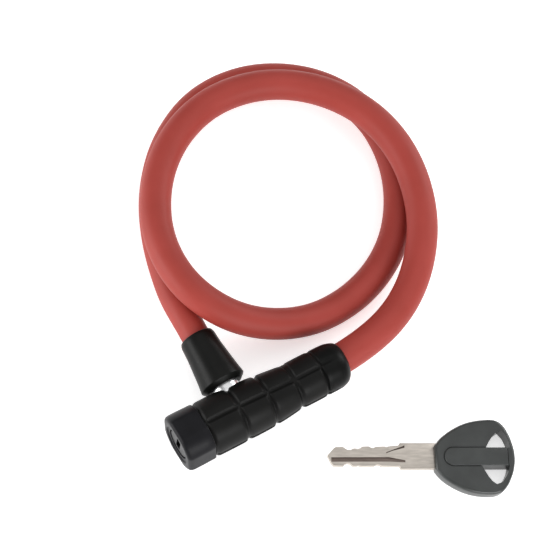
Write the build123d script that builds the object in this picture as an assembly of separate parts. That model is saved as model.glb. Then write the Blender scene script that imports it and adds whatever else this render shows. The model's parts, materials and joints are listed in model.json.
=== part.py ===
from build123d import *
import math
import os

# A keyed cable lock lying open-looped on a flat surface, with its key beside it. Millimetres, +Z up.
# The lock body lies on its side: its own x runs from the key end to the cable end, its y towards the
# side that takes the locking pin, and its z up. The pin shares the body's frame. The key has its own
# frame: x from the blade's tip to the bow.

# Driving dimensions
BODY_LENGTH = 70.0
BODY_RADIUS = 10.8
BODY_TURN = 30.0
BODY_CORNER = (-61.2, -15.5)
CABLE_RADIUS = 6.0
CORE_RADIUS = 3.95
CAP_LENGTH = 11.2
COLLAR_START = 59.5
PIN_STATION = 26.3
PIN_RADIUS = 4.0
PLUG_RADIUS = 5.5
PLUG_TRAVEL = 90.0
CRANK_RADIUS = 2.6
KEY_CORNER = (-5.3, -16.2)
KEY_TURN = 2.0
KEY_LENGTH = 70.2

# Clearances
RUNNING = 0.06
GAP = 0.1

body_frame = Location((BODY_CORNER[0], BODY_CORNER[1], BODY_RADIUS), (0, 0, BODY_TURN))
key_frame = Location((KEY_CORNER[0], KEY_CORNER[1], 0), (0, 0, KEY_TURN))
towards_pin = Rot(-90, 0, 0)


def rod(x0, x1, radius, y=0.0, z=0.0):
    """A cylinder along the body's own x."""
    return Pos((x0 + x1) / 2, y, z) * Rot(0, 90, 0) * Cylinder(radius, x1 - x0)


def tube(x0, x1, outer, inner):
    return rod(x0, x1, outer) - rod(x0 - 1, x1 + 1, inner)


def pin_rod(y0, y1, radius):
    """A cylinder along the locking pin's axis, from y0 to y1."""
    return Pos(PIN_STATION, (y0 + y1) / 2, 0) * towards_pin * Cylinder(radius, y1 - y0)


def block(x, y, z):
    """A box from three (low, high) pairs."""
    size = [high - low for low, high in (x, y, z)]
    centre = [(low + high) / 2 for low, high in (x, y, z)]
    return Pos(*centre) * Box(*size)


# Cover: grooved rows between the end cap and the rear collar
GROOVE_WIDTH = 0.9
GROOVE_DEPTH = 0.7
PILLOW = 0.14
COVER_ROWS = [
    ((CAP_LENGTH + 0.4, 10.7), (24.4, 10.6)),
    ((25.3, 10.5), (36.2, 10.15)),
    ((37.1, 10.0), (47.8, 8.85)),
    ((48.7, 9.0), (COLLAR_START - 0.4, 9.05)),
]
HOUSING_RADIUS = 8.2
HOUSING_STEP = 40.0
HOUSING_REAR_RADIUS = 7.0
HOUSING_START = 1.6
HOUSING_END = COLLAR_START


def cover_outline(depth):
    """The cover's outer line in the x-radius plane, lowered by depth, closed down to the axis."""
    lines = []
    last = None
    for (x0, r0), (x1, r1) in COVER_ROWS:
        if last is not None:
            x, r = last
            floor = (r + r0) / 2 - GROOVE_DEPTH - depth
            lines.append(Polyline((x, r - depth), (x + 0.15, floor), (x0 - 0.15, floor), (x0, r0 - depth)))
        middle = ((x0 + x1) / 2, (r0 + r1) / 2 + PILLOW - depth)
        lines.append(ThreePointArc((x0, r0 - depth), middle, (x1, r1 - depth)))
        last = (x1, r1)
    first_x, first_r = COVER_ROWS[0][0]
    end_x, end_r = COVER_ROWS[-1][1]
    start = CAP_LENGTH
    edge = GROOVE_DEPTH * 0.7 + depth
    lines.insert(0, Polyline((start, 0), (start, first_r - edge), (first_x, first_r - depth)))
    lines.append(Polyline((end_x, end_r - depth), (COLLAR_START, end_r - edge), (COLLAR_START, 0), (start, 0)))
    return revolve(make_face(Wire(Curve() + lines)), Axis.X)


def long_grooves(x0, x1):
    """Four thin blades along the body, at the top, bottom, pin side and opposite side."""
    blades = block((x0, x1), (-GROOVE_WIDTH / 2, GROOVE_WIDTH / 2), (-12, 12))
    return blades + Rot(90, 0, 0) * blades


def soft_cover():
    skin = cover_outline(0)
    grooves = long_grooves(CAP_LENGTH, COLLAR_START) - cover_outline(GROOVE_DEPTH)
    cover = skin - grooves
    cover -= rod(0, HOUSING_STEP, HOUSING_RADIUS) + rod(0, BODY_LENGTH, HOUSING_REAR_RADIUS)
    return cover - pin_rod(0, 12, BUSH_RADIUS)


def end_cap():
    """The moulded cap around the keyway, with a rounded rim and a sunken face."""
    cap = fillet(rod(0, CAP_LENGTH, BODY_RADIUS).edges().sort_by(Axis.X)[0], 2.6)
    cap = chamfer(cap.edges().sort_by(Axis.X)[-1], 0.45)
    cap -= rod(HOUSING_START, CAP_LENGTH + 1, HOUSING_RADIUS)
    cap -= rod(-1, 3, PLUG_RADIUS + 0.3)
    return cap - rod(-1, 0.5, 7.2)


def rear_collar():
    """The collar that closes the body round the cable, rounded at its mouth."""
    x0 = COLLAR_START
    outline = Polyline((x0, 0), (x0, 8.4), (x0 + 0.4, 8.9), (66.4, 8.75), (68.6, 8.0), (69.7, 7.2), (BODY_LENGTH, 6.6),
                       (BODY_LENGTH, 0), (x0, 0))
    collar = revolve(make_face(outline), Axis.X)
    mouth = collar.edges().filter_by(GeomType.CIRCLE).sort_by(Axis.X)[-4:-1]
    collar = fillet(mouth, 0.5)
    return collar - rod(x0 - 1, BODY_LENGTH + 1, CABLE_RADIUS)


# Cylinder: the fixed sleeve and the plug that turns in it
SLEEVE_RADIUS = 6.9
SLEEVE_END = 19.0
PLUG_START = 0.8
PLUG_END = 20.1
CAM_END = 21.2
CHAMBER_END = 22.3
CHAMBER_RADIUS = 6.5
KEYWAY_HALF_HEIGHT = 3.85
KEYWAY_HALF_WIDTH = 1.2
WAFER_STATIONS = [4.6 + 2.3 * i for i in range(6)]
WAFER_THICKNESS = 0.9
WAFER_HALF_WIDTH = 3.0
WAFER_RADIUS = 5.4
WAFER_TRAVEL = 0.8


def wafer_slots(margin, radius):
    """The room that the wafers slide in: one slab for each, as high as the radius."""
    half = WAFER_THICKNESS / 2 + margin
    slabs = [
        block((x - half, x + half), (-WAFER_HALF_WIDTH - margin, WAFER_HALF_WIDTH + margin), (-radius, radius))
        for x in WAFER_STATIONS
    ]
    return slabs[0].fuse(*slabs[1:])


def cylinder_sleeve():
    sleeve = tube(HOUSING_START, SLEEVE_END, SLEEVE_RADIUS, PLUG_RADIUS + RUNNING)
    first, last = WAFER_STATIONS[0] - 1.2, WAFER_STATIONS[-1] + 1.2
    reach = WAFER_RADIUS + WAFER_TRAVEL + 0.25
    channel = block((first, last), (-WAFER_HALF_WIDTH - 0.2, WAFER_HALF_WIDTH + 0.2), (-reach, reach))
    return sleeve - channel - Rot(90, 0, 0) * channel


def plug():
    body = rod(PLUG_START, PLUG_END, PLUG_RADIUS)
    body -= block((0, SLEEVE_END), (-KEYWAY_HALF_WIDTH, KEYWAY_HALF_WIDTH), (-KEYWAY_HALF_HEIGHT, KEYWAY_HALF_HEIGHT))
    body -= wafer_slots(0.05, 8)
    body -= tube(CLIP_START, CLIP_END, 8, CLIP_BORE)
    return chamfer(body.edges().filter_by(GeomType.CIRCLE).sort_by(Axis.X)[0:2], 0.3)


CLIP_START = 19.1
CLIP_END = 19.8
CLIP_BORE = 4.8


def plug_clip():
    """A retaining clip in the plug's groove, behind the sleeve, open on one side."""
    clip = tube(CLIP_START, CLIP_END, 6.25, CLIP_BORE)
    return clip - block((CLIP_START - 1, CLIP_END + 1), (-8, 0), (-1.6, 1.6))


def wafer(x, side):
    """One wafer, flush with the plug; side is +1 for those that rise and -1 for those that drop."""
    plate = rod(x - WAFER_THICKNESS / 2, x + WAFER_THICKNESS / 2, WAFER_RADIUS)
    half = WAFER_THICKNESS / 2
    plate &= block((x - half, x + half), (-WAFER_HALF_WIDTH, WAFER_HALF_WIDTH), (-8, 8))
    low, high = (-3.9, 3.1) if side > 0 else (-3.1, 3.9)
    plate -= block((x - 1, x + 1), (-1.25, 1.25), (low, high))
    spring_notch = block((x - 1, x + 1), (WAFER_HALF_WIDTH - 0.7, 4), (-1.2, 1.2))
    return plate - spring_notch


def wafers(side):
    first = 0 if side > 0 else 1
    return Compound(children=[wafer(x, side) for x in WAFER_STATIONS[first::2]])


# Cam, bolt and pin
CRANK_PIN_RADIUS = 0.8
REST_ANGLE = math.radians(-PLUG_TRAVEL / 2)
CRANK_Y = CRANK_RADIUS * math.cos(REST_ANGLE)
CRANK_Z = CRANK_RADIUS * math.sin(REST_ANGLE)
BOLT_TRAVEL = -2 * CRANK_Z
BOLT_HALF_WIDTH = 1.1
DRIVE_START = 21.35
DRIVE_END = 22.15
NECK_RADIUS = 2.5
NECK_HALF_LENGTH = 1.35
FORK_LOW = -7.3
FORK_BASE_TOP = -6.3
FORK_TIP = -3.2
FORK_INNER = NECK_RADIUS + 0.15
FORK_END = 30.4
POCKET_FLOOR = -7.45


def cam():
    """The disc on the plug's back end, with the crank pin that drives the bolt."""
    disc = rod(PLUG_END, CAM_END, 5.3)
    crank = rod(CAM_END - 0.2, DRIVE_END - 0.05, CRANK_PIN_RADIUS, CRANK_Y, CRANK_Z)
    return disc + crank


def locking_bolt():
    """A drive plate with a cross slot for the crank pin, and a fork that rises round the pin's neck."""
    drive = block((DRIVE_START, DRIVE_END), (-3.4, 4.5), (-3.7, 0))
    slot = 0.12 + CRANK_PIN_RADIUS
    drive -= block((DRIVE_START - 1, DRIVE_END + 1), (0.8, 3.65), (CRANK_Z - slot, CRANK_Z + slot))
    width = (-BOLT_HALF_WIDTH, BOLT_HALF_WIDTH)
    stem = block((DRIVE_START, DRIVE_END), width, (FORK_LOW, -3.7))
    fork = block((DRIVE_END, FORK_END), width, (FORK_LOW, FORK_TIP))
    fork -= block((PIN_STATION - FORK_INNER, PIN_STATION + FORK_INNER), (-3, 3), (FORK_BASE_TOP, 3))
    return drive + stem + fork


BUSH_RADIUS = 5.3
BUSH_SEAT = 6.6
BUSH_FACE = 10.9
PIN_TIP = -5.4
COLLAR_FACE = 12.2
TAIL_RADIUS = 4.8
TAIL_END = 24.0
FERRULE_START = 11.05
FERRULE_SIDE = [(6.9, FERRULE_START), (8.6, 12.7), (8.05, 16.4), (7.25, 23.5), (6.8, 31.8)]
FERRULE_MOUTH = 33.0
JACKET_END = 27.0


def locking_pin():
    """The grooved pin, its collar and the hollow tail that grips the cable's core."""
    shank = pin_rod(PIN_TIP, COLLAR_FACE, PIN_RADIUS)
    tip = shank.edges().filter_by(GeomType.CIRCLE).sort_by(Axis.Y)[0]
    shank = chamfer(tip, 1.2)
    neck = pin_rod(-NECK_HALF_LENGTH, NECK_HALF_LENGTH, 8)
    neck -= pin_rod(-2, 2, NECK_RADIUS)
    pin = shank - neck
    pin += pin_rod(BUSH_FACE + GAP, COLLAR_FACE, BUSH_RADIUS)
    pin += pin_rod(COLLAR_FACE, TAIL_END, TAIL_RADIUS)
    return pin - pin_rod(15.5, TAIL_END + 1, CORE_RADIUS + 0.15)


def pin_bush():
    bush = pin_rod(BUSH_SEAT, BUSH_FACE, BUSH_RADIUS) - pin_rod(0, 20, PIN_RADIUS + RUNNING)
    mouth = bush.edges().filter_by(GeomType.CIRCLE).sort_by(Axis.Y)[-1:]
    return chamfer(mouth, 0.12)


def ferrule():
    """The tapered sleeve over the end of the cable, widest near the pin."""
    outline = Polyline((0, FERRULE_START), *FERRULE_SIDE, (6.0, FERRULE_MOUTH), (0, FERRULE_MOUTH), close=True)
    sleeve = revolve(make_face(outline), Axis.Y)
    rims = sleeve.edges().filter_by(GeomType.CIRCLE).sort_by(lambda rim: rim.radius)
    sleeve = fillet(rims[-1], 0.5)
    mouth = sleeve.edges().filter_by(GeomType.CIRCLE).sort_by(Axis.Y)[-2]
    sleeve = fillet(mouth, 0.6)
    sleeve = Pos(PIN_STATION, 0, 0) * sleeve
    sleeve -= pin_rod(FERRULE_START - 1, COLLAR_FACE, BUSH_RADIUS)
    sleeve -= pin_rod(COLLAR_FACE - 1, TAIL_END, TAIL_RADIUS)
    return sleeve - pin_rod(TAIL_END - 0.5, FERRULE_MOUTH + 1, CABLE_RADIUS + GAP)


# Housing: the die-cast inner body that carries everything
CRIMP_START = 45.0
CRIMP_END = 57.5
CRIMP_RADIUS = 5.2
JACKET_START = 58.0
CORE_START = 46.0
CROSS_PIN_STATIONS = (48.5, 54.0)
CROSS_PIN_RADIUS = 0.75
CROSS_PIN_HEIGHT = 4.95
CROSS_PIN_LENGTH = 7.8
CROSS_HOLE_LENGTH = 16.0


def cross_rods(length):
    """The four rods across the body that graze the crimp's sides."""
    return [
        Pos(x, 0, z * CROSS_PIN_HEIGHT) * Rot(90, 0, 0) * Cylinder(CROSS_PIN_RADIUS, length)
        for x in CROSS_PIN_STATIONS
        for z in (1, -1)
    ]


def cross_pins():
    return Compound(children=cross_rods(CROSS_PIN_LENGTH))


def bolt_window(top):
    """The recess under the housing that the bolt is put in through, up to a height."""
    return block((20.6, 31.2), (-2.6, 2.6), (-9, top))


def lock_housing():
    shell = rod(HOUSING_START, HOUSING_STEP, HOUSING_RADIUS)
    shell += rod(HOUSING_STEP, HOUSING_END, HOUSING_REAR_RADIUS)
    shell -= rod(0, SLEEVE_END, SLEEVE_RADIUS)
    shell -= rod(SLEEVE_END - 1, CHAMBER_END, CHAMBER_RADIUS)
    shell -= pin_rod(-6.2, 12, PIN_RADIUS + RUNNING)
    shell -= pin_rod(BUSH_SEAT, 12, BUSH_RADIUS)
    side = BOLT_HALF_WIDTH + 0.1
    shell -= block((DRIVE_START - 0.15, FORK_END + 0.2), (-side, side), (POCKET_FLOOR, FORK_TIP + BOLT_TRAVEL + 0.2))
    shell -= bolt_window(POCKET_FLOOR)
    shell -= rod(CRIMP_START, CRIMP_END + 1, CRIMP_RADIUS)
    shell -= rod(JACKET_START, HOUSING_END + 1, CABLE_RADIUS)
    for hole in cross_rods(CROSS_HOLE_LENGTH):
        shell -= hole
    return shell - screw_rod(-9, -6)


def bolt_cover():
    return bolt_window(POCKET_FLOOR) & rod(20.6, 31.2, HOUSING_RADIUS)


def cable_crimp():
    """The steel sleeve swaged on the core, held in the housing by the cross pins."""
    crimp = tube(CRIMP_START, CRIMP_END, CRIMP_RADIUS, CORE_RADIUS)
    for groove in cross_rods(CROSS_HOLE_LENGTH):
        crimp -= groove
    return crimp


SCREW_STATION = 13.0
SCREW_RADIUS = 1.1


def screw_rod(z0, z1):
    """A cylinder along the sleeve screw's axis, under the body."""
    return Pos(SCREW_STATION, 0, (z0 + z1) / 2) * Cylinder(SCREW_RADIUS, z1 - z0)


def sleeve_screw():
    """The small grub screw that holds the cylinder sleeve in the housing."""
    return screw_rod(-8.1, -6.95)


# Cable: out of the collar, over the loop's first turn, down and round again to the ferrule.
# Points in the row's own frame; the first two lie on the body's axis and the last two on the pin's.
ROUTE_MIDDLE = [
    (26.0, 45.0, 12.0),
    (32.5, 72.0, 15.8),
    (27.2, 98.0, 19.0),
    (13.4, 118.8, 18.8),
    (-7.8, 130.1, 18.7),
    (-31.2, 131.2, 18.7),
    (-52.6, 121.7, 18.7),
    (-67.4, 103.8, 18.7),
    (-73.5, 82.0, 18.7),
    (-70.9, 59.7, 19.3),
    (-58.9, 40.4, 21.0),
    (-37.8, 31.5, 15.0),
    (-13.3, 34.8, 8.0),
    (6.9, 46.9, 6.0),
    (20.4, 65.7, 6.0),
    (25.2, 88.1, 6.0),
    (21.8, 111.0, 6.0),
    (10.2, 130.2, 6.0),
    (-10.4, 141.6, 6.0),
    (-35.0, 141.2, 6.0),
    (-56.2, 129.1, 6.0),
    (-69.2, 108.5, 6.0),
    (-73.5, 86.5, 6.0),
    (-71.2, 66.6, 6.0),
    (-64.8, 47.6, 6.6),
]


def body_point(x, y):
    return (body_frame * Pos(x, y, 0)).position


def cable_route():
    start = [body_point(JACKET_START, 0), body_point(80, 0)]
    end = [body_point(PIN_STATION, 42), body_point(PIN_STATION, JACKET_END)]
    return start + [Vector(*p) for p in ROUTE_MIDDLE] + end


def route_radii(points):
    """The largest arc that each corner's two runs allow."""
    radii = []
    for before, here, after in zip(points, points[1:], points[2:]):
        first, second = here - before, after - here
        turn = math.radians(first.get_angle(second))
        radii.append(0.45 * min(first.length, second.length) / math.tan(turn / 2))
    return radii


def cable():
    """The jacket and the steel core, along one path of straight runs and arcs."""
    points = cable_route()
    radii = route_radii(points)
    path = FilletPolyline(*points, radius=radii)
    start = Plane(origin=path @ 0, z_dir=path % 0)
    outer = sweep(start * Circle(CABLE_RADIUS), path=path)
    inner = sweep(start * Circle(CORE_RADIUS), path=path)
    jacket = outer - inner
    root_end = body_frame * rod(CORE_START, JACKET_START, CORE_RADIUS)
    pin_end = body_frame * pin_rod(16.0, JACKET_END, CORE_RADIUS)
    core = inner + root_end + pin_end
    section = math.pi * (CABLE_RADIUS**2 - CORE_RADIUS**2)
    print("cable length", round(path.length, 1), "smallest radius", round(min(radii), 1))
    print("radii", [round(r) for r in radii])
    print("jacket volume / section x length", round(jacket.volume / (section * path.length), 4))
    return jacket, core


# Key
BLADE_LENGTH = 40.1
BLADE_OFFSET = 0.35
BLADE_HALF_HEIGHT = 3.7
NECK_START = 26.4
NECK_HALF_HEIGHT = 4.9
BLADE_LOW = 1.9
BLADE_TOP = 4.1
BOW_THICKNESS = 6.0
BOW_HALF_WIDTH = 14.1
BOW_ROUND = 1.2
TOP_CUTS = [(8.1, 1.6), (11.6, 0.5), (16.5, 0.9), (21.9, 0.7)]
BOTTOM_CUTS = [(7.0, 0.8), (12.4, 1.3), (18.6, 0.6)]


def notch(x, depth, side):
    """A V cut in one edge of the blade, with a flat bottom."""
    edge = side * BLADE_HALF_HEIGHT
    wide, flat = depth + 0.5, 0.5
    outline = Polyline((x - wide - 0.5, edge + side * 0.5), (x - flat, edge - side * depth),
                       (x + flat, edge - side * depth), (x + wide + 0.5, edge + side * 0.5), close=True)
    return extrude(make_face(outline), 10)


def milled(x_end, y0, y1, depth, wheel=9.0):
    """A milled channel along the blade's upper face that runs out where the cutter lifts."""
    floor = BLADE_TOP - depth
    channel = block((-1, x_end), (y0, y1), (floor, 9))
    runout = Pos(x_end, (y0 + y1) / 2, floor + wheel) * Rot(90, 0, 0) * Cylinder(wheel, y1 - y0)
    return channel + runout


def key_blade():
    half = BLADE_HALF_HEIGHT
    outline = Polyline((0, 0.2), (3.2, half), (NECK_START - 0.8, half), (NECK_START, NECK_HALF_HEIGHT),
                       (BLADE_LENGTH + 13, NECK_HALF_HEIGHT), (BLADE_LENGTH + 13, -NECK_HALF_HEIGHT),
                       (NECK_START, -NECK_HALF_HEIGHT), (NECK_START - 0.8, -half), (3.0, -half), (0, -0.6), close=True)
    blade = Pos(0, 0, BLADE_LOW) * extrude(make_face(outline), BLADE_TOP - BLADE_LOW)
    for x, depth in TOP_CUTS:
        blade -= notch(x, depth, 1)
    for x, depth in BOTTOM_CUTS:
        blade -= notch(x, depth, -1)
    blade -= milled(22.0, 0.75, 6.0, 0.6)
    blade -= milled(23.0, -1.7, -0.2, 0.75)
    blade -= Pos(BLADE_LENGTH + 9, 0, 0) * Cylinder(2.2, 20)
    return Pos(0, BLADE_OFFSET, 0) * blade


def bow_outline():
    """A rounded triangle, blunt at the blade and widest near its far side."""
    side = Spline(
        (BLADE_LENGTH, 5.2), (44.1, 9.35), (48.1, 11.6), (54.1, 13.6), (60.2, BOW_HALF_WIDTH),
        (64.3, 13.1), (68.2, 7.6), (KEY_LENGTH, 0),
        tangents=((1, 1.3), (0, -1)),
    )
    half = Curve() + [Line((BLADE_LENGTH, 0), (BLADE_LENGTH, 5.2)), side]
    return make_face(half + mirror(half, Plane.XZ))


def bow_window():
    """The three-cornered opening for a key ring on the upper side, rounded at its back."""
    return make_face(Curve() + [
        Line((59.2, 3.2), (67.0, 3.2)),
        ThreePointArc((67.0, 3.2), (66.1, 7.2), (64.4, 10.4)),
        ThreePointArc((64.4, 10.4), (61.1, 7.4), (59.2, 3.2)),
    ])


PANEL_LOW = 44.6
PANEL_HIGH = 66.4
PANEL_HALF_WIDTH = 3.0


def bow_panel(top):
    """A plain rounded panel let into the bow's upper face."""
    shape = Pos((PANEL_LOW + PANEL_HIGH) / 2, 0) * SlotOverall(PANEL_HIGH - PANEL_LOW, 2 * PANEL_HALF_WIDTH)
    return Pos(0, 0, BOW_THICKNESS - 0.6) * extrude(shape, top)


def key_bow():
    bow = extrude(bow_outline(), BOW_THICKNESS)
    window = bow_window()
    for hole in (window, mirror(window, Plane.XZ)):
        bow -= Pos(0, 0, -1) * extrude(hole, BOW_THICKNESS + 2)
    rims = bow.faces().sort_by(Axis.Z)
    outer = rims[-1].outer_wire().edges() + rims[0].outer_wire().edges()
    bow = fillet(outer, BOW_ROUND)
    bow -= bow_panel(2)
    return bow - key_blade()


def main():
    jacket, core = cable()
    on_body = {
        "soft_cover": soft_cover(),
        "end_cap": end_cap(),
        "rear_collar": rear_collar(),
        "lock_housing": lock_housing(),
        "bolt_cover": bolt_cover(),
        "sleeve_screw": sleeve_screw(),
        "cylinder_sleeve": cylinder_sleeve(),
        "plug": plug(),
        "plug_clip": plug_clip(),
        "cam": cam(),
        "upper_wafers": wafers(1),
        "lower_wafers": wafers(-1),
        "locking_bolt": locking_bolt(),
        "pin_bush": pin_bush(),
        "cable_crimp": cable_crimp(),
        "cross_pins": cross_pins(),
        "locking_pin": locking_pin(),
        "ferrule": ferrule(),
    }
    on_key = {
        "key_blade": key_blade(),
        "key_bow": key_bow(),
        "key_panel": bow_panel(0.45),
    }
    parts = {name: body_frame * shape for name, shape in on_body.items()}
    parts |= {name: key_frame * shape for name, shape in on_key.items()}
    parts |= {"cable_jacket": jacket, "cable_core": core}
    os.makedirs("parts", exist_ok=True)
    for name, shape in parts.items():
        export_step(shape, f"parts/{name}.step")
    print("bolt travel", round(BOLT_TRAVEL, 4), "ratio", round(BOLT_TRAVEL / 1000 / math.radians(PLUG_TRAVEL), 7))


main()
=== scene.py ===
"""A keyed cable lock on a pale table, with its key beside it. Metres, in the part's own frame."""
import json
import math

import bmesh
import bpy
import numpy as np
from mathutils import Matrix, Vector


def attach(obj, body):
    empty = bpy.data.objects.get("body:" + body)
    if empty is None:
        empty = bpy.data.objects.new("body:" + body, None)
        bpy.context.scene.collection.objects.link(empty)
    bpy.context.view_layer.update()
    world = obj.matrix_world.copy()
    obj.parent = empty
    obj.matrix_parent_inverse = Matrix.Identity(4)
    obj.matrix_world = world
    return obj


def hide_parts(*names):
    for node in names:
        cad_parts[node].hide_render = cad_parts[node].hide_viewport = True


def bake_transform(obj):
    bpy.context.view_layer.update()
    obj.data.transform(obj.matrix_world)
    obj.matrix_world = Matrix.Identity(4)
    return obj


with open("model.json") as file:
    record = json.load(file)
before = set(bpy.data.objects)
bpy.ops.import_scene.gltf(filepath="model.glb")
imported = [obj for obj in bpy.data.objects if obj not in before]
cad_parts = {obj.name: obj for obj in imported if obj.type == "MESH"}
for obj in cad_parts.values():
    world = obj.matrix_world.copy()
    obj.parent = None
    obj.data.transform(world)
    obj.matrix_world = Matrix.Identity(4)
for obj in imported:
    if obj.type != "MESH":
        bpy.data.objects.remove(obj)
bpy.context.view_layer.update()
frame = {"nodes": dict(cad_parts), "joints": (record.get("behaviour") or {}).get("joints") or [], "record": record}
scene = bpy.context.scene
MM = 0.001

# Places: the body's x runs along the plug's axis from the keyway end, and the pin's x out of the body's side.
joints = {joint["name"]: joint for joint in frame["joints"]}
plug_turn = joints["plug_turn"]
body_angle = math.atan2(plug_turn["axis"][1], plug_turn["axis"][0])
body_frame = Matrix.Translation(plug_turn["pos_m"]) @ Matrix.Rotation(body_angle, 4, "Z")
PIN_STATION = 26.3 * MM
pin_frame = body_frame @ Matrix.Translation((PIN_STATION, 0, 0)) @ Matrix.Rotation(math.radians(90), 4, "Z")
KEY_TIP = (-5.3 * MM, -16.2 * MM, 0)
KEY_TURN = math.radians(2)
key_frame = Matrix.Translation(KEY_TIP) @ Matrix.Rotation(KEY_TURN, 4, "Z")


# ---------------------------------------------------------------- camera
TARGET = Vector((-0.02425, 0.0571, 0))
TOWARDS_CAMERA = Vector((-0.1042, -0.3865, 0.9164)).normalized()
CAMERA_DISTANCE = 0.6
LENS = 101.5


def make_camera():
    right = Vector((0, 1, 0)).cross(TOWARDS_CAMERA).normalized()
    up = TOWARDS_CAMERA.cross(right)
    place = Matrix((right, up, TOWARDS_CAMERA)).transposed().to_4x4()
    place.translation = TARGET + TOWARDS_CAMERA * CAMERA_DISTANCE
    data = bpy.data.cameras.new("camera")
    data.lens = LENS
    data.sensor_width = 36
    camera = bpy.data.objects.new("camera", data)
    camera.matrix_world = place
    scene.collection.objects.link(camera)
    scene.camera = camera


# ---------------------------------------------------------------- mesh helpers
def add_mesh(name, points, faces, place=None):
    mesh = bpy.data.meshes.new(name)
    mesh.from_pydata(points, [], faces)
    if place is not None:
        mesh.transform(place)
    mesh.update()
    piece = bpy.data.objects.new(name, mesh)
    scene.collection.objects.link(piece)
    return piece


def outward(piece):
    """Turns every face's normal to the outside."""
    shape = bmesh.new()
    shape.from_mesh(piece.data)
    bmesh.ops.recalc_face_normals(shape, faces=shape.faces)
    shape.to_mesh(piece.data)
    shape.free()


def settle(piece):
    """Turns the piece's modifiers into plain mesh."""
    bpy.context.view_layer.update()
    evaluated = piece.evaluated_get(bpy.context.evaluated_depsgraph_get())
    mesh = bpy.data.meshes.new_from_object(evaluated)
    piece.modifiers.clear()
    piece.data = mesh


def bevel(piece, width, segments=3, angle=30):
    modifier = piece.modifiers.new("bevel", "BEVEL")
    modifier.width = width
    modifier.segments = segments
    modifier.limit_method = "ANGLE"
    modifier.angle_limit = math.radians(angle)
    settle(piece)


def cut(piece, tool):
    """Takes the tool's volume out of the piece and removes the tool, whose material goes to the new faces."""
    modifier = piece.modifiers.new("cut", "BOOLEAN")
    modifier.operation = "DIFFERENCE"
    modifier.solver = "EXACT"
    modifier.material_mode = "TRANSFER"
    modifier.object = tool
    settle(piece)
    bpy.data.objects.remove(tool)


def smooth(piece, angle=35):
    piece.data.shade_smooth()
    piece.data.set_sharp_from_angle(angle=math.radians(angle))


def ring_faces(rows, columns, closed):
    """Quads between rings of points: closed joins the last ring to the first."""
    faces = []
    for i in range(rows if closed else rows - 1):
        a, b = i * columns, (i + 1) % rows * columns
        for j in range(columns):
            k = (j + 1) % columns
            faces.append((a + j, a + k, b + k, b + j))
    return faces


def lathe(name, place, profile, columns=96, shape=None):
    """Turns a closed (x, radius) profile in mm about the local x; shape(x, radius, angle) bends it."""
    angles = [2 * math.pi * j / columns for j in range(columns)]
    points = []
    for x, radius in profile:
        for angle in angles:
            r = radius if shape is None else shape(x, radius, angle)
            points.append((x * MM, r * MM * math.sin(angle), r * MM * math.cos(angle)))
    piece = add_mesh(name, points, ring_faces(len(profile), columns, True), place)
    outward(piece)
    return piece


def step(low, high, value):
    """Rises smoothly from 0 to 1 between low and high."""
    t = min(max((value - low) / (high - low), 0), 1)
    return t * t * (3 - 2 * t)


# ---------------------------------------------------------------- materials
def shader(name, colour, roughness, metallic=0.0, specular=0.5):
    material = bpy.data.materials.new(name)
    material.use_nodes = True
    base = material.node_tree.nodes["Principled BSDF"]
    base.inputs["Base Color"].default_value = (*colour, 1)
    base.inputs["Roughness"].default_value = roughness
    base.inputs["Metallic"].default_value = metallic
    base.inputs["Specular IOR Level"].default_value = specular
    return material


def link(material, source, output, target, socket):
    material.node_tree.links.new(source.outputs[output], target.inputs[socket])


def noise(material, scale, detail=4.0, stretch=(1, 1, 1)):
    nodes = material.node_tree.nodes
    where = nodes.new("ShaderNodeTexCoord")
    mapping = nodes.new("ShaderNodeMapping")
    mapping.inputs["Scale"].default_value = stretch
    texture = nodes.new("ShaderNodeTexNoise")
    texture.inputs["Scale"].default_value = scale
    texture.inputs["Detail"].default_value = detail
    link(material, where, "Object", mapping, "Vector")
    link(material, mapping, "Vector", texture, "Vector")
    return texture


def vary_colour(material, scale, dark, light, stretch=(1, 1, 1)):
    """The colour drifts between two near tones."""
    nodes = material.node_tree.nodes
    texture = noise(material, scale, 5.0, stretch)
    ramp = nodes.new("ShaderNodeValToRGB")
    ramp.color_ramp.elements[0].position = 0.35
    ramp.color_ramp.elements[0].color = (*dark, 1)
    ramp.color_ramp.elements[1].position = 0.65
    ramp.color_ramp.elements[1].color = (*light, 1)
    link(material, texture, "Fac", ramp, "Fac")
    link(material, ramp, "Color", nodes["Principled BSDF"], "Base Color")


def vary_roughness(material, scale, low, high, stretch=(1, 1, 1)):
    nodes = material.node_tree.nodes
    texture = noise(material, scale, 3.0, stretch)
    spread = nodes.new("ShaderNodeMapRange")
    spread.inputs["To Min"].default_value = low
    spread.inputs["To Max"].default_value = high
    link(material, texture, "Fac", spread, "Value")
    link(material, spread, "Result", nodes["Principled BSDF"], "Roughness")


def grain(material, scale, height, stretch=(1, 1, 1)):
    """A fine moulded or brushed surface; height is in metres."""
    nodes = material.node_tree.nodes
    texture = noise(material, scale, 2.0, stretch)
    bump = nodes.new("ShaderNodeBump")
    bump.inputs["Strength"].default_value = 1.0
    bump.inputs["Distance"].default_value = height
    link(material, texture, "Fac", bump, "Height")
    link(material, bump, "Normal", nodes["Principled BSDF"], "Normal")


def moulded(name, colour, roughness, specular=0.5):
    """Dyed plastic with a fine spark-eroded grain."""
    material = shader(name, colour, roughness, specular=specular)
    vary_colour(material, 90, [c * 0.82 for c in colour], [c * 1.18 for c in colour])
    vary_roughness(material, 160, roughness - 0.06, roughness + 0.06)
    grain(material, 2600, 0.000012)
    return material


def turned_metal(name, colour, roughness, stretch=(1, 12, 12)):
    material = shader(name, colour, roughness, metallic=1.0)
    vary_colour(material, 220, [c * 0.88 for c in colour], [min(c * 1.08, 1) for c in colour], stretch)
    vary_roughness(material, 400, roughness - 0.07, roughness + 0.07, stretch)
    grain(material, 900, 0.000006, stretch)
    return material


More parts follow.
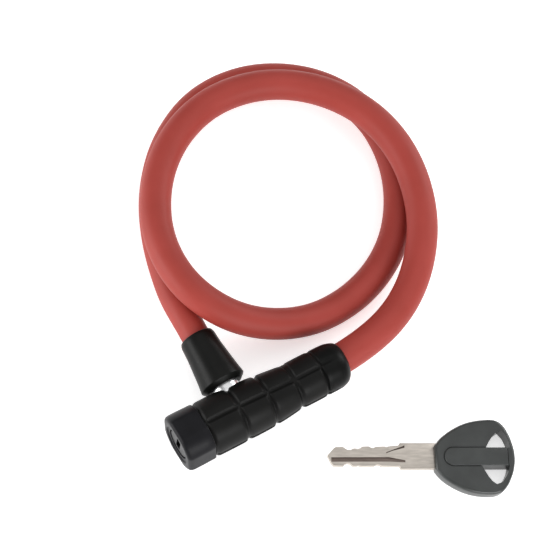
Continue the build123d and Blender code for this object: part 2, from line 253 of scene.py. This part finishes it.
def sheath_material():
    """Soft satin vinyl."""
    material = shader("red_sheath", (0.315, 0.04, 0.03), 0.52, specular=0.28)
    vary_colour(material, 60, (0.3, 0.037, 0.027), (0.33, 0.043, 0.033))
    vary_roughness(material, 120, 0.5, 0.6)
    grain(material, 1500, 0.000012)
    return material


def make_materials():
    return {
        "cable_red": sheath_material(),
        "wire_rope": turned_metal("wire_rope", (0.5, 0.5, 0.51), 0.4),
        "cover": moulded("soft_black", (0.0055, 0.0055, 0.0052), 0.44, 0.12),
        "cap": moulded("cap_black", (0.009, 0.009, 0.0105), 0.36, 0.1),
        "collar": moulded("collar_black", (0.0045, 0.0047, 0.0045), 0.38, 0.09),
        "ferrule": moulded("ferrule_black", (0.0055, 0.0057, 0.0052), 0.38, 0.12),
        "casting": turned_metal("zinc_casting", (0.5, 0.5, 0.52), 0.5, (1, 1, 1)),
        "steel": turned_metal("bright_steel", (0.75, 0.75, 0.76), 0.28),
        "brass": turned_metal("machined_brass", (0.72, 0.55, 0.27), 0.34),
        "dark_metal": turned_metal("blackened_metal", (0.03, 0.03, 0.031), 0.4, (1, 1, 1)),
        "key_metal": turned_metal("nickel_plate", (0.53, 0.485, 0.435), 0.33, (1, 6, 6)),
        # The groove faces get a much darker copy of the key metal: painted shade for the shadow inside the long
        # groove and its run-out.
        "key_groove": turned_metal("groove_painted_shade", (0.2, 0.16, 0.14), 0.5, (1, 6, 6)),
        "key_plastic": moulded("bow_plastic", (0.036, 0.039, 0.038), 0.3, 0.4),
    }


def dress(piece, material):
    piece.data.materials.clear()
    piece.data.materials.append(material)


# ---------------------------------------------------------------- cable
CABLE_RADIUS = 6.0 * MM
CABLE_COLUMNS = 40
JACKET_START = 58.0
JACKET_END = 27.0
ROUTE_MIDDLE = [
    (26.0, 45.0, 12.0),
    (32.5, 72.0, 15.8),
    (27.2, 98.0, 19.0),
    (13.4, 118.8, 18.8),
    (-7.8, 130.1, 18.7),
    (-31.2, 131.2, 18.7),
    (-52.6, 121.7, 18.7),
    (-66.8, 103.8, 18.7),
    (-72.7, 82.0, 18.7),
    (-70.2, 59.4, 19.3),
    (-58.6, 39.9, 21.4),
    (-37.8, 30.8, 15.0),
    (-13.3, 34.1, 8.0),
    (6.9, 46.9, 6.0),
    (20.4, 65.7, 6.0),
    (25.2, 88.1, 6.0),
    (21.8, 111.0, 6.0),
    (10.2, 130.2, 6.0),
    (-10.4, 141.1, 6.0),
    (-35.0, 140.8, 6.0),
    (-56.2, 129.1, 6.0),
    (-68.6, 108.5, 6.0),
    (-72.6, 86.5, 6.0),
    (-70.6, 66.6, 6.0),
    (-64.8, 47.6, 6.2),
]


def body_point(x, y):
    return body_frame @ Vector((x * MM, y * MM, 0))


def cable_route():
    start = [body_point(JACKET_START, 0), body_point(80, 0)]
    end = [body_point(26.3, 42), body_point(26.3, JACKET_END)]
    return start + [Vector(p) * MM for p in ROUTE_MIDDLE] + end


def spline_points(route):
    """The route's NURBS spline, as points close together."""
    data = bpy.data.curves.new("route", "CURVE")
    data.dimensions = "3D"
    spline = data.splines.new("NURBS")
    spline.points.add(len(route) - 1)
    for point, place in zip(spline.points, route):
        point.co = (*place, 1)
    spline.order_u = 3
    spline.use_endpoint_u = True
    spline.resolution_u = 14
    curve = bpy.data.objects.new("route", data)
    scene.collection.objects.link(curve)
    mesh = bpy.data.meshes.new_from_object(curve)
    points = [vertex.co.copy() for vertex in mesh.vertices]
    bpy.data.objects.remove(curve)
    return points


def arc_lengths(points):
    lengths = [0.0]
    for before, here in zip(points, points[1:]):
        lengths.append(lengths[-1] + (here - before).length)
    return lengths


def cable_radius(left):
    """The sheath is drawn in a little just before the ferrule; left is the length up to the cable's end."""
    return CABLE_RADIUS * (1 - 0.1 * (1 - step(0.008, 0.03, left)))


def make_cable(material):
    """The tube is laid out straight, so the blend goes by length, and then bent on to its route."""
    points = spline_points(cable_route())
    lengths = arc_lengths(points)
    total = lengths[-1]
    angles = [2 * math.pi * j / CABLE_COLUMNS for j in range(CABLE_COLUMNS)]
    straight = []
    bent = []
    side = Vector((0, 0, 1))
    for i, (point, length) in enumerate(zip(points, lengths)):
        ahead = points[min(i + 1, len(points) - 1)] - points[max(i - 1, 0)]
        ahead.normalize()
        side = (side - side.dot(ahead) * ahead).normalized()
        other = ahead.cross(side)
        radius = cable_radius(total - length)
        for angle in angles:
            u, v = radius * math.cos(angle), radius * math.sin(angle)
            straight.append((length, u, v))
            bent.append(point + side * u + other * v)
    faces = ring_faces(len(points), CABLE_COLUMNS, False)
    count = len(straight)
    faces.append(tuple(range(CABLE_COLUMNS - 1, -1, -1)))
    faces.append(tuple(range(count - CABLE_COLUMNS, count)))
    piece = add_mesh("cable_sheath", straight, faces)
    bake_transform(piece)
    for vertex, place in zip(piece.data.vertices, bent):
        vertex.co = place
    piece.data.update()
    outward(piece)
    smooth(piece, 60)
    dress(piece, material)
    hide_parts("cable_jacket", "cable_core")
    return piece, points


# ---------------------------------------------------------------- body
CAP_LENGTH = 11.2
COLLAR_START = 59.5
BODY_LENGTH = 70.0
TILE_ROWS = [
    ((CAP_LENGTH + 0.4, 10.75), (24.4, 10.7)),
    ((25.3, 10.6), (36.2, 10.25)),
    ((37.1, 10.1), (47.8, 8.95)),
    ((48.7, 9.1), (COLLAR_START - 0.4, 9.15)),
]
TILE_GAP = 0.9
GROOVE_DEPTH = 0.78
GROOVE_FLOOR = 0.15
GROOVE_REACH = 1.35
TILE_CROWN = 0.25
SWAY = 0.55
COVER_BORE = 8.25
PIN_HOLE = 5.4


def row_at(x):
    """The tile row beside x, and how far along it x is."""
    for (x0, r0), (x1, r1) in TILE_ROWS:
        if x <= x1 + TILE_GAP / 2:
            return r0, r1, min(max((x - x0) / (x1 - x0), 0), 1)
    return r1, r1, 1.0


def groove(distance):
    """1 on a groove's floor, and 0 beyond its soft edge."""
    return 1 - step(GROOVE_FLOOR, GROOVE_REACH, distance)


def around(angle, radius):
    """How far round its quarter the angle is, and the distance in mm to the nearest long groove."""
    quarter = (angle % (math.pi / 2)) / (math.pi / 2)
    return quarter, radius * min(quarter, 1 - quarter) * math.pi / 2


def sway(x):
    """The cover leans a little, away from the pin, towards its far end; in mm."""
    return -SWAY * step(14, 44, x)


def cover_radius(x, angle):
    r0, r1, along = row_at(x)
    radius = r0 + (r1 - r0) * along
    quarter, beside = around(angle, radius)
    crown = TILE_CROWN * (1 - (2 * along - 1) ** 4) * (1 - (2 * quarter - 1) ** 4)
    between = [(a[1][0] + b[0][0]) / 2 for a, b in zip(TILE_ROWS, TILE_ROWS[1:])]
    across = min(abs(x - centre) for centre in (CAP_LENGTH, *between, COLLAR_START))
    return radius - TILE_CROWN + crown - GROOVE_DEPTH * max(groove(across), groove(beside))


def cover_stations():
    stations = [CAP_LENGTH, CAP_LENGTH + 0.15, CAP_LENGTH + 0.3]
    for (x0, _), (x1, _) in TILE_ROWS:
        stations += list(np.linspace(x0 + 0.1, x1 - 0.1, 26))
        stations += list(np.linspace(x1, x1 + TILE_GAP, 7))
    return [x for x in stations if x < COLLAR_START] + [COLLAR_START]


def cover_angles():
    """More steps across the long grooves than over the tiles."""
    spans = ((0, 8, 13), (8, 82, 34), (82, 90, 13))
    quarter = [angle for span in spans for angle in list(np.linspace(*span))[:-1]]
    return [math.radians(90 * i + a) for i in range(4) for a in quarter]


def make_cover(material):
    stations, angles = cover_stations(), cover_angles()
    points = []
    for x in stations:
        for angle in angles:
            r = cover_radius(x, angle)
            points.append((x * MM, (r * math.sin(angle) + sway(x)) * MM, r * MM * math.cos(angle)))
    for x in (stations[-1], stations[0]):
        points += [(x * MM, COVER_BORE * MM * math.sin(a), COVER_BORE * MM * math.cos(a)) for a in angles]
    cover = add_mesh("tiled_cover", points, ring_faces(len(stations) + 2, len(angles), True), body_frame)
    outward(cover)
    cut(cover, lathe("pin_hole", pin_frame, [(2, 0.001), (2, PIN_HOLE), (14, PIN_HOLE), (14, 0.001)], 64))
    smooth(cover, 50)
    dress(cover, material)
    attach(cover, "root")
    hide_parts("soft_cover")


CAP_RADIUS = 10.8
CAP_BORE = 8.2
CAP_FACE_RADIUS = 8.0
CAP_FLAT = 9.95
CAP_FLAT_TURN = math.radians(11)
CAP_CRISPNESS = 16


def cap_shape(x, radius, angle):
    """Four shallow flats outside the cap's round face, softened where they meet the round."""
    if radius < CAP_FACE_RADIUS:
        return radius
    turn = (angle - CAP_FLAT_TURN + math.pi / 4) % (math.pi / 2) - math.pi / 4
    flat = CAP_FLAT / math.cos(turn) * radius / CAP_RADIUS
    return -math.log(math.exp(-radius * CAP_CRISPNESS) + math.exp(-flat * CAP_CRISPNESS)) / CAP_CRISPNESS


def make_cap(material):
    profile = [
        (0.5, 5.8), (0.5, 7.1), (0.35, 7.3), (0.0, 7.5), (0.0, 9.1), (0.1, 9.75), (0.45, 10.3), (1.1, 10.7),
        (2.2, 10.85), (5.5, 10.85), (8.0, 10.8), (10.6, 10.75), (11.0, 10.6), (CAP_LENGTH, 10.1),
        (CAP_LENGTH, CAP_BORE), (3.0, CAP_BORE), (3.0, 5.8),
    ]
    cap = lathe("end_cap_shell", body_frame, profile, 128, cap_shape)
    bevel(cap, 0.12 * MM, 2, 28)
    smooth(cap, 30)
    dress(cap, material)
    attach(cap, "root")
    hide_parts("end_cap")


COLLAR_GROOVE = 0.6


def make_collar(material):
    profile = [
        (COLLAR_START, 7.1), (COLLAR_START, 8.5), (59.75, 8.85), (60.2, 9.0), (61.5, 9.0), (63.0, 9.0),
        (64.3, 8.95), (65.6, 8.9), (67.3, 8.5), (68.5, 8.0), (69.3, 7.4), (69.75, 6.95), (BODY_LENGTH, 6.5),
        (BODY_LENGTH, 6.15), (69.6, 6.05), (60.5, 6.05),
    ]

    def leaning(x, radius, angle):
        """The collar carries on the cover's lean and its long grooves."""
        outside = step(6.2, 8.6, radius)
        depth = COLLAR_GROOVE * groove(around(angle, radius)[1]) * (1 - step(62, 66, x))
        return radius - outside * (SWAY * math.sin(angle) + depth)

    collar = lathe("rear_collar_shell", body_frame, profile, 240, leaning)
    smooth(collar, 50)
    dress(collar, material)
    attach(collar, "root")
    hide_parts("rear_collar")


# ---------------------------------------------------------------- ferrule and pin
def make_ferrule(material):
    profile = [
        (12.2, 4.85), (12.2, 5.4), (11.05, 5.4), (11.05, 6.9), (11.3, 7.2), (12.4, 8.5), (12.7, 8.75),
        (13.1, 8.75), (16.4, 8.27), (20.0, 7.85), (23.5, 7.45), (27.0, 7.1), (31.3, 6.9), (32.3, 6.65),
        (32.8, 6.35), (33.0, 6.0), (33.0, 5.55), (24.0, 5.55), (24.0, 4.85),
    ]
    ferrule = lathe("ferrule_sleeve", pin_frame, profile)
    bevel(ferrule, 0.15 * MM, 2, 28)
    smooth(ferrule, 40)
    dress(ferrule, material)
    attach(ferrule, "pin")
    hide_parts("ferrule")
    return ferrule


def make_pin(material):
    profile = [
        (-5.4, 0.001), (-5.4, 2.8), (-4.2, 4.0), (-1.35, 4.0), (-1.35, 2.5), (1.35, 2.5), (1.35, 4.0),
        (11.0, 4.0), (11.0, 5.3), (12.2, 5.3), (12.2, 4.8), (24.0, 4.8), (24.0, 0.001),
    ]
    pin = lathe("grooved_pin", pin_frame, profile, 72)
    bevel(pin, 0.12 * MM, 2, 28)
    smooth(pin, 40)
    dress(pin, material)
    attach(pin, "pin")
    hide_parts("locking_pin")
    return pin


# ---------------------------------------------------------------- key
# Outlines are (x, y) in mm from the blade's tip, with the panel and the windows as seen from above.
BOW_THICKNESS = 6.0
BOW_ROUND = 1.3
BOW_END = 70.4
UPPER_SIDE = [
    (40.1, 3.9), (42.1, 6.4), (44.1, 8.1), (48.1, 10.7), (52.1, 12.5), (56.1, 13.5), (60.0, 13.95),
    (62.5, 14.0), (64.6, 13.5), (66.6, 12.0), (68.4, 9.0), (69.7, 5.2),
]
LOWER_SIDE = [
    (40.1, -5.2), (42.1, -7.75), (44.1, -9.5), (48.1, -12.0), (52.1, -13.65), (56.1, -14.5), (60.0, -14.75),
    (62.5, -14.5), (64.6, -13.6), (66.4, -11.8), (68.4, -8.4), (69.8, -4.6),
]
UPPER_WINDOW = [
    (59.4, 2.9), (60.5, 4.9), (61.9, 6.9), (63.4, 8.5), (65.5, 9.9), (67.2, 7.9), (68.2, 5.4), (68.6, 2.9),
]
LOWER_WINDOW = [
    (57.4, -3.9), (58.4, -6.0), (59.6, -8.2), (60.9, -9.9), (62.4, -11.0), (64.6, -10.2), (66.3, -8.0),
    (67.4, -6.0), (68.0, -3.9),
]
PANEL_START = 43.4
PANEL_END = 67.4
PANEL_HALF = 3.4
PANEL_MIDDLE = -0.5
PANEL_RISE = 0.45
PANEL_GAP = 0.3


def slab(name, outline, height, edge):
    """A flat piece of the given height in mm, with a smooth outline between its two end corners."""
    data = bpy.data.curves.new(name, "CURVE")
    data.dimensions = "2D"
    data.fill_mode = "BOTH"
    spline = data.splines.new("BEZIER")
    spline.bezier_points.add(len(outline) - 1)
    for i, (knot, (x, y)) in enumerate(zip(spline.bezier_points, outline)):
        knot.co = (x * MM, y * MM, 0)
        kind = "AUTO" if 0 < i < len(outline) - 1 else "VECTOR"
        knot.handle_left_type = kind
        knot.handle_right_type = kind
    spline.use_cyclic_u = True
    spline.resolution_u = 10
    data.offset = -edge * MM
    data.bevel_depth = edge * MM
    data.bevel_resolution = 5
    data.extrude = (height / 2 - edge) * MM
    curve = bpy.data.objects.new(name, data)
    scene.collection.objects.link(curve)
    mesh = bpy.data.meshes.new_from_object(curve)
    bpy.data.objects.remove(curve)
    mesh.transform(key_frame @ Matrix.Translation((0, 0, height / 2 * MM)))
    piece = bpy.data.objects.new(name, mesh)
    scene.collection.objects.link(piece)
    return piece


def solid_between(name, lower, upper):
    """A closed solid in the key's own frame between two outlines with as many (x, y, z) points, in mm."""
    count = len(lower)
    corners = [(x * MM, y * MM, z * MM) for x, y, z in lower + upper]
    faces = [tuple(range(count)), tuple(range(count, 2 * count))]
    faces += [(i, (i + 1) % count, count + (i + 1) % count, count + i) for i in range(count)]
    piece = add_mesh(name, corners, faces, key_frame)
    outward(piece)
    return piece


def prism(name, points, low, high):
    return solid_between(name, [(x, y, low) for x, y in points], [(x, y, high) for x, y in points])


def pill(start, end, half):
    """A long outline about the panel's middle line, with one round end, at its start."""
    arc = [math.pi / 2 + math.pi * i / 12 for i in range(13)]
    sides = [(end, PANEL_MIDDLE - half), (end, PANEL_MIDDLE + half)]
    return sides + [(start + half + half * math.cos(a), PANEL_MIDDLE + half * math.sin(a)) for a in arc]


def make_bow(material):
    """A moulded bow with rounded edges, two ring windows and a bed for the panel."""
    bow = slab("bow_shell", UPPER_SIDE + [(BOW_END, 0)] + LOWER_SIDE[::-1], BOW_THICKNESS, BOW_ROUND)
    for window in (UPPER_WINDOW, LOWER_WINDOW):
        cut(bow, prism("window", window, -1, BOW_THICKNESS + 1))
    bed = pill(PANEL_START - PANEL_GAP, PANEL_END + PANEL_GAP, PANEL_HALF + PANEL_GAP)
    cut(bow, prism("panel_bed", bed, BOW_THICKNESS - 0.5, BOW_THICKNESS + 1))
    smooth(bow, 40)
    dress(bow, material)
    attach(bow, "key")
    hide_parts("key_bow")


def make_panel(material):
    """The blank label panel, standing a little proud of the bow inside a thin groove."""
    outline = pill(PANEL_START, PANEL_END, PANEL_HALF)
    panel = prism("label_panel", outline, BOW_THICKNESS - 0.6, BOW_THICKNESS + PANEL_RISE)
    bevel(panel, 0.22 * MM, 3, 40)
    smooth(panel, 30)
    dress(panel, material)
    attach(panel, "key")
    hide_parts("key_panel")


BLADE_OUTLINE = [
    (0, 0.3), (2.6, 3.1), (3.4, 3.6), (6.0, 3.6), (6.9, 2.9), (7.6, 2.4), (8.8, 2.35), (9.7, 2.9),
    (10.4, 3.0), (11.5, 2.75), (12.5, 3.1), (13.2, 3.7), (15.8, 3.75), (16.5, 3.2), (17.4, 3.1), (18.2, 3.6),
    (21.6, 3.75), (22.3, 3.5), (23.0, 3.75), (26.9, 3.95), (27.2, 4.9), (44.0, 4.9), (44.0, -4.9),
    (27.2, -4.9), (26.9, -3.9), (20.0, -3.75), (19.2, -3.3), (18.3, -3.2), (17.4, -3.75), (12.3, -3.75),
    (11.5, -3.5), (10.6, -3.75), (9.3, -3.7), (8.5, -2.9), (7.6, -2.65), (6.6, -2.9), (5.8, -3.7),
    (2.2, -3.6), (1.2, -2.3),
]
BLADE_MIDDLE = 0.35
BLADE_LOW, BLADE_HIGH = 1.9, 4.1
# Cutters for the upper face: each point has its x, its y from the middle line, and its share of the depth.
UPPER_STEP = [(1.5, 0.9, 0), (22.0, 0.9, 0), (24.0, 4.6, 1), (-1.0, 4.6, 1)]
UPPER_STEP_DEPTH = 0.55
LONG_GROOVE = [
    (1.4, -0.5, 1), (23.0, -0.5, 1), (29.0, -1.7, 0.4), (29.0, -2.5, 0.4), (23.0, -2.2, 1), (1.4, -2.2, 1),
]
RUN_OUT = [(22.0, 1.4, 0.2), (29.0, 4.0, 0.6), (29.0, 3.1, 0.6), (24.6, 2.0, 1), (22.0, 1.0, 0.2)]
BLADE_GROOVE_DEPTH = 0.8


def wedge(name, points, depth):
    """A cutter that goes down to depth in the blade's upper face, and stands 0.5 mm out of it."""
    lower = [(x, y + BLADE_MIDDLE, BLADE_HIGH - depth * share) for x, y, share in points]
    return solid_between(name, lower, [(x, y, BLADE_HIGH + 0.5) for x, y, _ in lower])


def make_blade(material, groove_shade_material):
    """A flat blade with shallow cuts, a slanting upper step, a long groove and a run-out at the neck."""
    outline = [(x, y + BLADE_MIDDLE) for x, y in BLADE_OUTLINE]
    blade = prism("flat_blade", outline, BLADE_LOW, BLADE_HIGH)
    bevel(blade, 0.18 * MM, 2, 25)
    dress(blade, material)
    # The long groove and run-out cutters leave the darker groove metal on their faces, which is painted shade for
    # the shadow in the groove.
    cutters = ((UPPER_STEP, UPPER_STEP_DEPTH, material), (LONG_GROOVE, BLADE_GROOVE_DEPTH, groove_shade_material),
               (RUN_OUT, BLADE_GROOVE_DEPTH, groove_shade_material))
    for points, depth, finish in cutters:
        tool = wedge("cutter", points, depth)
        dress(tool, finish)
        cut(blade, tool)
    smooth(blade, 25)
    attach(blade, "key")
    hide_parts("key_blade")


# ---------------------------------------------------------------- stage
def area_light(name, place, aim, size, power, colour=(1, 1, 1)):
    data = bpy.data.lights.new(name, "AREA")
    data.shape = "RECTANGLE"
    data.size, data.size_y = size
    data.energy = power
    data.color = colour
    lamp = bpy.data.objects.new(name, data)
    lamp.location = place
    lamp.rotation_euler = (Vector(place) - Vector(aim)).to_track_quat("Z", "Y").to_euler()
    scene.collection.objects.link(lamp)


def make_stage():
    """A white table lit softly from beneath, a pale room, and four soft lamps."""
    half = 15.0
    corners = [(-half, -half, 0), (half, -half, 0), (half, half, 0), (-half, half, 0)]
    floor = add_mesh("floor", corners, [(0, 1, 2, 3)])
    paper = shader("pale_paper", (0.93, 0.93, 0.93), 0.9, specular=0.1)
    glow = paper.node_tree.nodes["Principled BSDF"]
    glow.inputs["Emission Color"].default_value = (1, 1, 1, 1)
    glow.inputs["Emission Strength"].default_value = 0.56
    dress(floor, paper)
    world = bpy.data.worlds.new("studio")
    world.use_nodes = True
    world.node_tree.nodes["Background"].inputs["Color"].default_value = (1, 1, 1, 1)
    world.node_tree.nodes["Background"].inputs["Strength"].default_value = 0.36
    scene.world = world
    centre = (-0.02, 0.05, 0)
    area_light("overhead", (0.0, 0.35, 1.4), centre, (1.8, 1.6), 6)
    area_light("left", (-0.95, -0.17, 0.24), centre, (0.9, 0.45), 8)
    area_light("front", (0.4, -0.85, 0.5), centre, (0.9, 0.45), 9)
    area_light("right", (0.68, 0.55, 0.42), centre, (0.5, 0.35), 4)
    scene.view_settings.view_transform = "Standard"


make_camera()
materials = make_materials()
cable, cable_points = make_cable(materials["cable_red"])
make_cover(materials["cover"])
make_cap(materials["cap"])
make_collar(materials["collar"])
ferrule = make_ferrule(materials["ferrule"])
pin = make_pin(materials["steel"])
make_blade(materials["key_metal"], materials["key_groove"])
make_bow(materials["key_plastic"])
make_panel(materials["key_plastic"])
for entry in frame["record"]["subparts"]:
    if entry["node"] in frame["nodes"]:
        dress(frame["nodes"][entry["node"]], materials[entry["material_slot"]])
make_stage()
